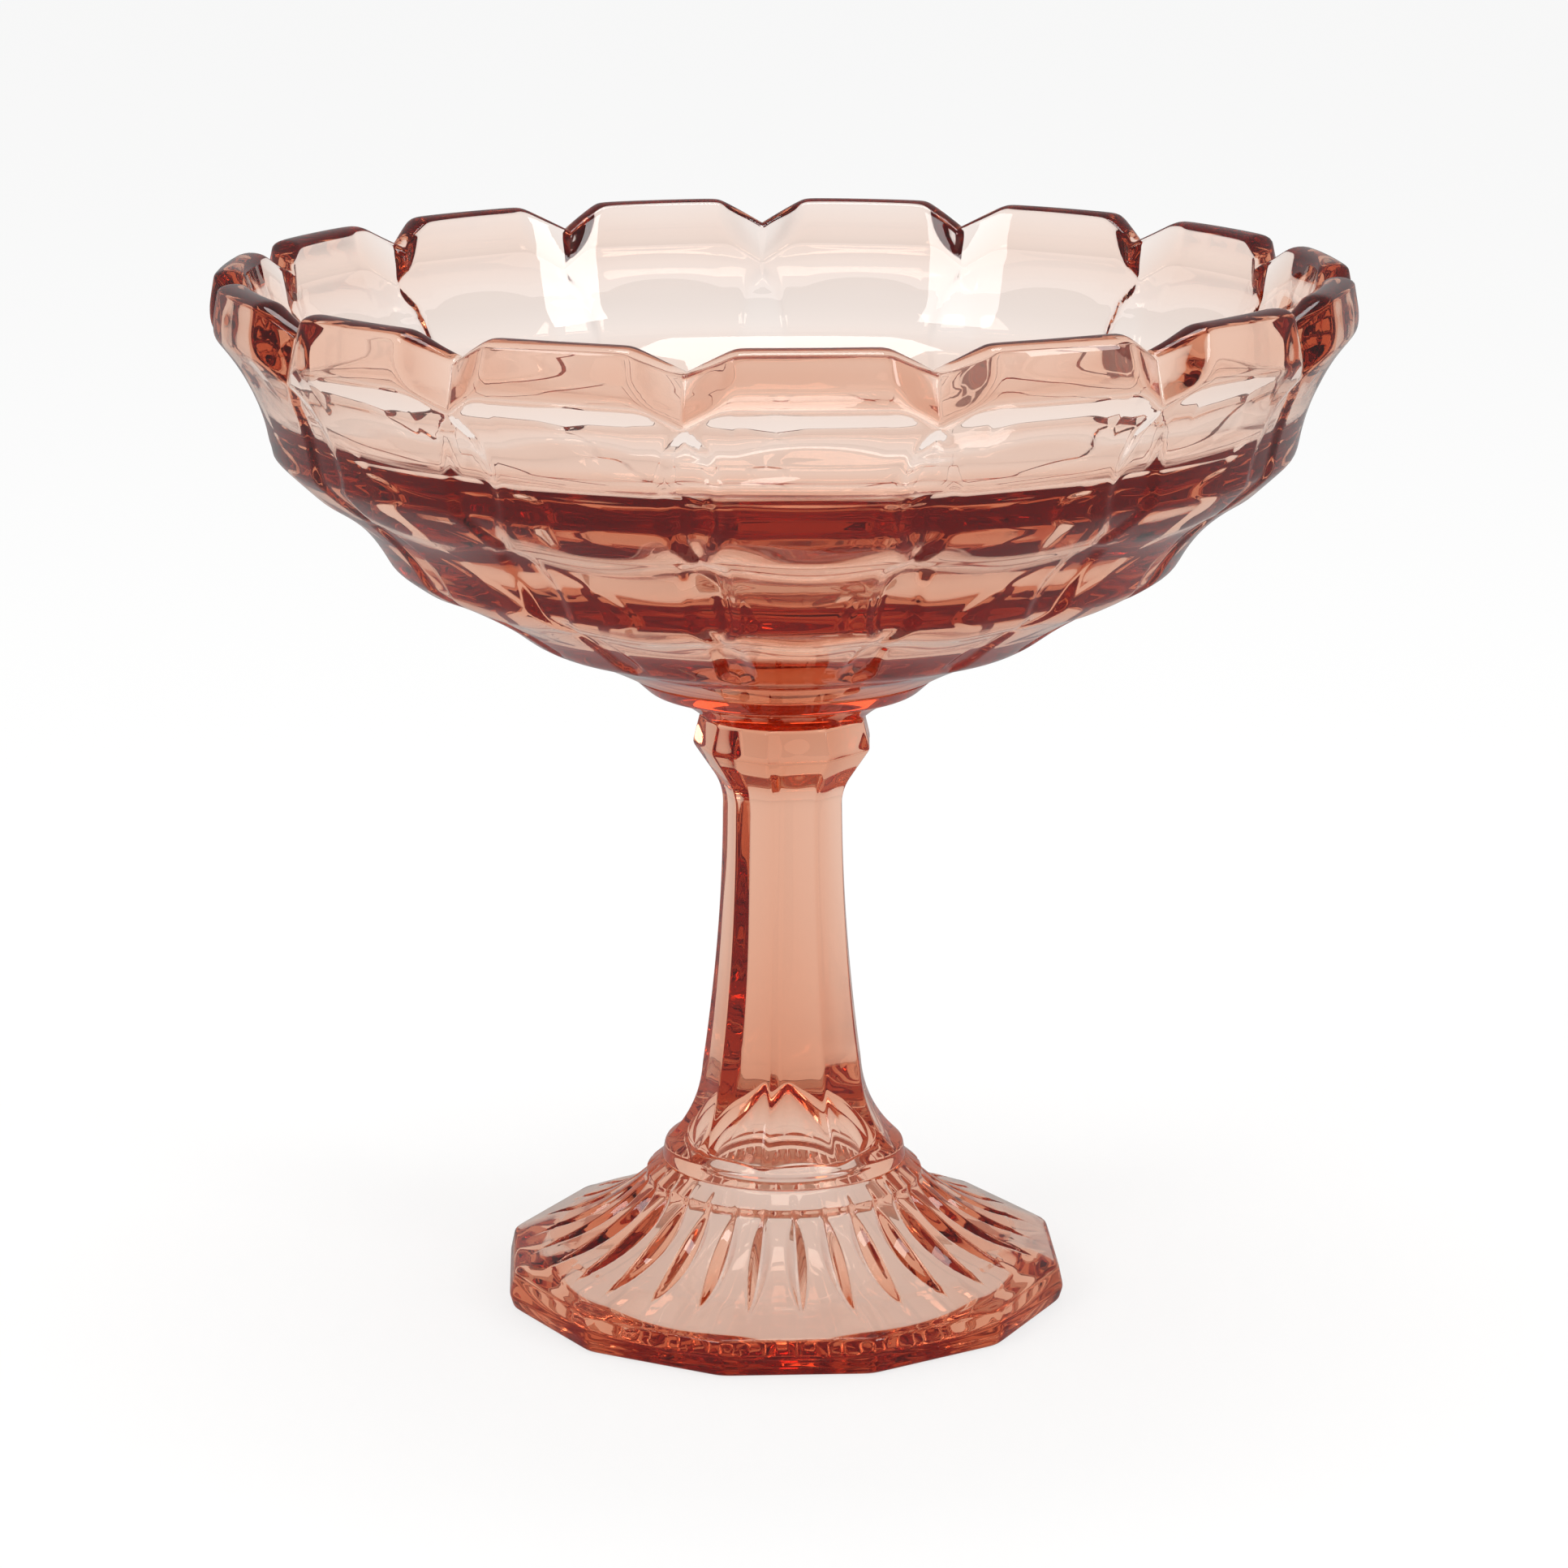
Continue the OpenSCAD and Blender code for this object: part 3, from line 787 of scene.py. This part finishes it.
@dataclass
class Foot:
    """Twelve-sided foot with a plain sloping margin, a fluted skirt and a hollow underside.

    Attributes:
        margin_lap: Way that margin and skirt reach past the line where they meet, out and up.
        flute_rise: Factor by which a groove's sides are steeper than flute_half.
        flute_fall: Slope of a groove's bottom line past its tip.
        rest_shares: Places of the rings in the rest ring, as shares of the way out.
        side: Points of the edge, as steps from table_r, foot_r and edge_r and from their heights.
        nick: Depth and half width of a groove's end in the ring under the stem.
        nick_end: Way below the top where the nicks end, and the way to their full depth.
        rings: Rings of the hollow, the edge, the upper side and the ring under the stem.
    """

    sides: int = 12
    foot_r: float = 54.7
    table_r: float = 54.0
    edge_r: float = 53.8
    bevel_h: float = 2.6
    edge_h: float = 6.7
    edge_soft: float = 0.3
    edge_in: float = 0.6
    edge_sharpness: float = 150.0
    slope: float = 24.0
    margin: Point = (43.97, 10.26)
    margin_lap: Point = (0.25, 0.3)
    margin_sharpness: float = 90.0
    margin_soft: float = 0.3
    skirt_sag: float = 1.25
    ring: Point = (26.4, 21.6)
    ring_h: float = 1.33
    ring_soft: float = 0.2
    ring_lap: float = 0.05
    top_r: float = 23.3
    top_gap: float = 0.1
    height: float = 25.6
    flutes: int = 30
    flute_turn: float = 1.5
    flute_tip: Point = (46.3, 9.24)
    flute_depth: float = 0.5
    flute_sag: float = 3.9
    flute_half: float = 36.0
    flute_rise: float = 1.15
    flute_fall: float = 0.15
    flute_soft: float = 0.18
    nick: Point = (0.4, 0.9)
    nick_end: Point = (0.4, 2.0)
    rest_w: float = 1.5
    rest_soft: float = 0.5
    rest_shares: Place = (0.25, 0.6, 0.9)
    side: tuple[Point, ...] = ((-0.45, 0.0), (0.0, 0.3), (0.0, 0.0), (0.05, -0.15), (-0.6, 0.24))
    rings: tuple[int, ...] = (40, 22, 52, 14)
    columns: int = 720
    finish: PinkGlass = PinkGlass("foot glass", swell=5e-5, grain=60.0, haze=0.03)

    def aside(self, rho: Array, theta: Array) -> Array:
        """Distance from the middle of the nearest groove, at a distance from the axis and an angle."""
        turn = math.radians(self.flute_turn)
        return rho * np.abs(np.sin(from_nearest(theta, self.flutes, turn)))

    def top_height(self, rho: Array, theta: Array) -> Array:
        """Height of the upper side: the higher of margin and skirt, less the grooves of the flutes.

        The margin falls by slope from its flats, the skirt dips between ring and margin, and a
        groove's sides rise from its bottom line at flute_half from upright.

        Args:
            rho: Distances from the axis.
            theta: Angles in radians.

        Returns:
            The height over the table.
        """
        flat = self.edge_r * math.cos(math.pi / self.sides)
        out = rho / sided(theta, self.sides, 0.0, self.margin_sharpness)
        margin = self.edge_h + (flat - out) * math.tan(math.radians(self.slope))
        lap_out, lap_up = self.margin_lap
        highest = np.full_like(margin, self.margin[1] + lap_up)
        margin = soft_min(margin, highest, self.margin_soft)
        arc = dipped(self.ring, (self.margin[0] + lap_out, self.margin[1]), self.skirt_sag)
        skirt = np.interp(rho, arc[:, 0], arc[:, 1], right=0.0)
        surface = soft_max(margin, skirt, self.margin_soft)
        top = (self.ring[0], self.ring[1] - self.flute_depth)
        line = dipped(top, self.flute_tip, self.flute_sag)
        past = self.flute_tip[1] - self.flute_fall * (rho - self.flute_tip[0])
        bottom = np.where(rho < self.flute_tip[0], np.interp(rho, line[:, 0], line[:, 1]), past)
        rise = self.flute_rise / math.tan(math.radians(self.flute_half))
        return soft_min(surface, bottom + self.aside(rho, theta) * rise, self.flute_soft)

    def grid(self) -> Array:
        """Rings from the top of the hollow, over the rest ring and the edge, back to the hollow."""
        theta = around(self.columns)
        hollow_n, edge_n, upper_n, ring_n = self.rings
        flat = sided(theta, self.sides, 0.0, self.edge_sharpness) * math.cos(math.pi / self.sides)
        bore = Hollow().curve()[::-1]
        bore = bore[bore[:, 1] < self.height]
        mouth, rest = bore[0, 0], bore[-1, 0] + self.rest_w
        bore = spread(rounded(np.concatenate([bore, [[rest, 0.0]]]), self.rest_soft), hollow_n)
        bore[0, 1] = self.height - GAP
        hollow = turned(theta, bore[:, :1], np.clip(bore[:, 1:], 0.0, None))
        t = np.array(self.rest_shares)[:, None]
        ring = turned(theta, (1.0 - t) * rest + t * (self.table_r - self.edge_in) * flat, 0.0)
        table, belt, brink = (self.table_r, 0.0), (self.foot_r, self.bevel_h), (self.edge_r, self.edge_h)
        side = np.array([table, table, belt, brink, brink]) + self.side
        side = spread(rounded(side, self.edge_soft), edge_n)
        edge = turned(theta, side[:, :1] * flat, np.clip(side[:, 1:], 0.0, None))
        start = (self.edge_r - self.edge_in) * flat
        t = np.linspace(0.0, 1.0, upper_n)[1:, None]
        rho = start + t * (self.ring[0] + self.ring_lap - start)
        upper = turned(theta, rho, self.top_height(rho, theta + 0.0 * t))
        shelf = (self.ring[0], self.ring[1] + self.ring_h)
        neck = np.array([self.ring, shelf, (self.top_r, self.height - self.top_gap)])
        neck = spread(rounded(neck, self.ring_soft), ring_n)[1:]
        deep, half_w = self.nick
        end, run = self.nick_end
        nick = deep * ramp(1.0 - self.aside(self.ring[0], theta) / half_w)
        nick = nick * ramp((self.height - end - neck[:, 1:]) / run)
        collar = turned(theta, neck[:, :1] - nick, neck[:, 1:])
        lid = turned(theta, mouth + BAND[:0:-1] * (self.top_r - mouth), self.height - GAP)
        return np.concatenate([hollow, ring, edge, upper, collar, lid])

    def build(self) -> bpy.types.Object:
        """The foot as one closed piece of glass."""
        skin = closed_skin("glass_foot", self.grid(), (self.height - GAP,), Closing.LOOP)
        return dress(skin, "foot", self.finish)


# Studio


def aim(place: Place, target: Place) -> Place:
    """Turn of a lamp or camera at place that looks at target, with its upper side up.

    Args:
        place: Where it stands.
        target: What it looks at.

    Returns:
        Its rotation as XYZ angles.
    """
    x, y, z = (t - p for t, p in zip(target, place, strict=True))
    return math.atan2(math.hypot(x, y), -z), 0.0, math.atan2(-x, y)


@dataclass
class Studio:
    """Pale floor, white surroundings, soft lamps and the camera.

    Levels are given through glass, in reflections and as light on matt surfaces.

    Attributes:
        azimuth: Direction of the camera in degrees from the front.
        pitch: Angle that the camera looks down by, in degrees.
        distance: Distance of the camera from the aim in metres.
        aim_z: Height of the aim in metres.
        focal: Focal length over the picture's width.
        sensor: Width of the camera's sensor in millimetres.
        near: Nearest distance that the camera sees, in metres.
        sky: Levels of the surroundings.
        glow: Levels of the white in the floor.
        glow_share: Levels of its share in the floor.
        glow_most: Largest share of the white in the floor.
        paper: Colour of the rest of the floor.
        matt: Roughness of the floor.
        floor_half: Half of the floor's width in metres.
        floor_z: Height of the floor in metres, a little under the foot.
        lamps: Name, place, width and height in metres and power in watts of each lamp.
        lamp_aim: What the lamps face.
        bounces: Most bounces of a ray, and most of them through glass.
        mirror_bounces: Most reflections of a ray, and most fused faces that it goes through.
    """

    azimuth: float = -2.6
    pitch: float = 13.85
    distance: float = 0.9065
    aim_z: float = 0.0986
    focal: float = 5925.0 / 1932.0
    sensor: float = 36.0
    near: float = 0.01
    sky: Place = (1.0, 0.35, 0.9)
    glow: Place = (1.0, 0.12, 1.0)
    glow_share: Place = (0.8, 1.0, 0.0)
    glow_most: float = 0.7
    paper: Place = (0.86, 0.86, 0.855)
    matt: float = 0.9
    floor_half: float = 6.0
    floor_z: float = -0.0002
    lamps: tuple[tuple[str, Place, Point, float], ...] = (
        ("lamp_left", (-0.9, -0.75, 0.75), (0.4, 0.5), 3.0),
        ("lamp_right", (0.95, -0.7, 0.6), (0.3, 0.5), 3.0),
        ("lamp_top", (0.0, 0.1, 1.3), (0.6, 0.4), 4.0),
    )
    lamp_aim: Place = (0.0, 0.0, 0.12)
    bounces: int = 32
    mirror_bounces: int = 24

    @staticmethod
    def seen(tree: bpy.types.NodeTree, levels: Place) -> bpy.types.NodeSocket:
        """Level by the kind of ray: 1 for the camera, and a level for each other kind.

        Rays through glass count as glossy too, so the level is the matt one, plus glossy times the
        step to the mirrored one, plus transmission times the step from there to the one through
        glass.

        Args:
            tree: Node tree that the level is for.
            levels: Levels through glass, in reflections and as light on matt surfaces.

        Returns:
            The output that holds the level.
        """
        through, mirrored, matt = levels
        path = tree.nodes.new("ShaderNodeLightPath")
        mirror, glass, level = (tree.nodes.new("ShaderNodeMath") for _ in levels)
        mirror.operation = glass.operation = "MULTIPLY_ADD"
        tree.links.new(path.outputs["Is Glossy Ray"], mirror.inputs[0])
        mirror.inputs[1].default_value = mirrored - matt
        mirror.inputs[2].default_value = matt
        tree.links.new(path.outputs["Is Transmission Ray"], glass.inputs[0])
        glass.inputs[1].default_value = through - mirrored
        tree.links.new(mirror.outputs[0], glass.inputs[2])
        level.operation = "MAXIMUM"
        tree.links.new(path.outputs["Is Camera Ray"], level.inputs[0])
        tree.links.new(glass.outputs[0], level.inputs[1])
        return level.outputs[0]

    def surroundings(self) -> None:
        """World that is white where it is seen, a little dimmer as light and dimmest in reflections."""
        world = bpy.data.worlds.new("studio")
        bpy.context.scene.world = world
        world.use_nodes = True
        tree = world.node_tree
        back = tree.nodes["Background"]
        back.inputs["Color"].default_value = (1.0, 1.0, 1.0, 1.0)
        tree.links.new(self.seen(tree, self.sky), back.inputs["Strength"])

    def floor(self) -> None:
        """Wide pale floor: a share of it is seen as plain white, the rest takes light and shade."""
        mesh = bpy.data.meshes.new("studio_floor")
        signs = ((-1.0, -1.0), (1.0, -1.0), (1.0, 1.0), (-1.0, 1.0))
        corners = [(x * self.floor_half, y * self.floor_half, self.floor_z) for x, y in signs]
        mesh.from_pydata(corners, [], [(0, 1, 2, 3)])
        plane = bpy.data.objects.new("studio_floor", mesh)
        bpy.context.scene.collection.objects.link(plane)
        paper = bpy.data.materials.new("white paper")
        paper.use_nodes = True
        tree = paper.node_tree
        matt = tree.nodes["Principled BSDF"]
        matt.inputs["Base Color"].default_value = (*self.paper, 1.0)
        matt.inputs["Roughness"].default_value = self.matt
        matt.inputs["Specular IOR Level"].default_value = 0.0
        glow, mix = tree.nodes.new("ShaderNodeEmission"), tree.nodes.new("ShaderNodeMixShader")
        share = tree.nodes.new("ShaderNodeMath")
        share.operation = "MULTIPLY"
        share.inputs[1].default_value = self.glow_most
        tree.links.new(self.seen(tree, self.glow_share), share.inputs[0])
        tree.links.new(self.seen(tree, self.glow), glow.inputs["Strength"])
        tree.links.new(share.outputs[0], mix.inputs[0])
        tree.links.new(matt.outputs[0], mix.inputs[1])
        tree.links.new(glow.outputs[0], mix.inputs[2])
        tree.links.new(mix.outputs[0], tree.nodes["Material Output"].inputs["Surface"])
        mesh.materials.append(paper)

    def lamp(self, name: str, place: Place, size: Point, power: float) -> None:
        """Soft rectangular lamp that faces the seat of the bowl.

        Args:
            name: Name of the lamp.
            place: Place of its middle in metres.
            size: Its width and height in metres.
            power: Its power in watts.
        """
        light = bpy.data.lights.new(name, "AREA")
        light.shape = "RECTANGLE"
        light.size, light.size_y = size
        light.energy = power
        lamp = bpy.data.objects.new(name, light)
        bpy.context.scene.collection.objects.link(lamp)
        lamp.location = place
        lamp.rotation_euler = aim(place, self.lamp_aim)

    def camera(self) -> None:
        """Camera at the angle, distance and lens of the photograph."""
        view = bpy.data.cameras.new("camera")
        view.sensor_width = self.sensor
        view.lens = self.sensor * self.focal
        view.clip_start = self.near
        eye = bpy.data.objects.new("camera", view)
        bpy.context.scene.collection.objects.link(eye)
        a, e = math.radians(self.azimuth), math.radians(self.pitch)
        place = (
            self.distance * math.sin(a) * math.cos(e),
            -self.distance * math.cos(a) * math.cos(e),
            self.aim_z + self.distance * math.sin(e),
        )
        eye.location = place
        eye.rotation_euler = aim(place, (0.0, 0.0, self.aim_z))
        bpy.context.scene.camera = eye

    def build(self) -> None:
        """Sets up the whole studio and its view settings."""
        self.surroundings()
        self.floor()
        for row in self.lamps:
            self.lamp(*row)
        self.camera()
        scene = bpy.context.scene
        scene.view_settings.view_transform = "Standard"
        scene.cycles.max_bounces = self.bounces
        scene.cycles.transmission_bounces = self.bounces
        scene.cycles.glossy_bounces = self.mirror_bounces
        scene.cycles.transparent_max_bounces = self.mirror_bounces


def plain(box: tuple) -> list[list[float]]:
    """A box's two corners as plain lists of numbers."""
    return [[float(v) for v in corner] for corner in box]


def main() -> None:
    """Loads the frame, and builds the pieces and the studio."""
    logging.basicConfig(level=logging.INFO, format="%(message)s")
    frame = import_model()
    log.info("frame: %s", ", ".join(sorted(frame["nodes"])))
    for part in (Foot(), Stem(), Wafer(), Bowl()):
        part.build()
    Studio().build()


if __name__ == "__main__":
    main()
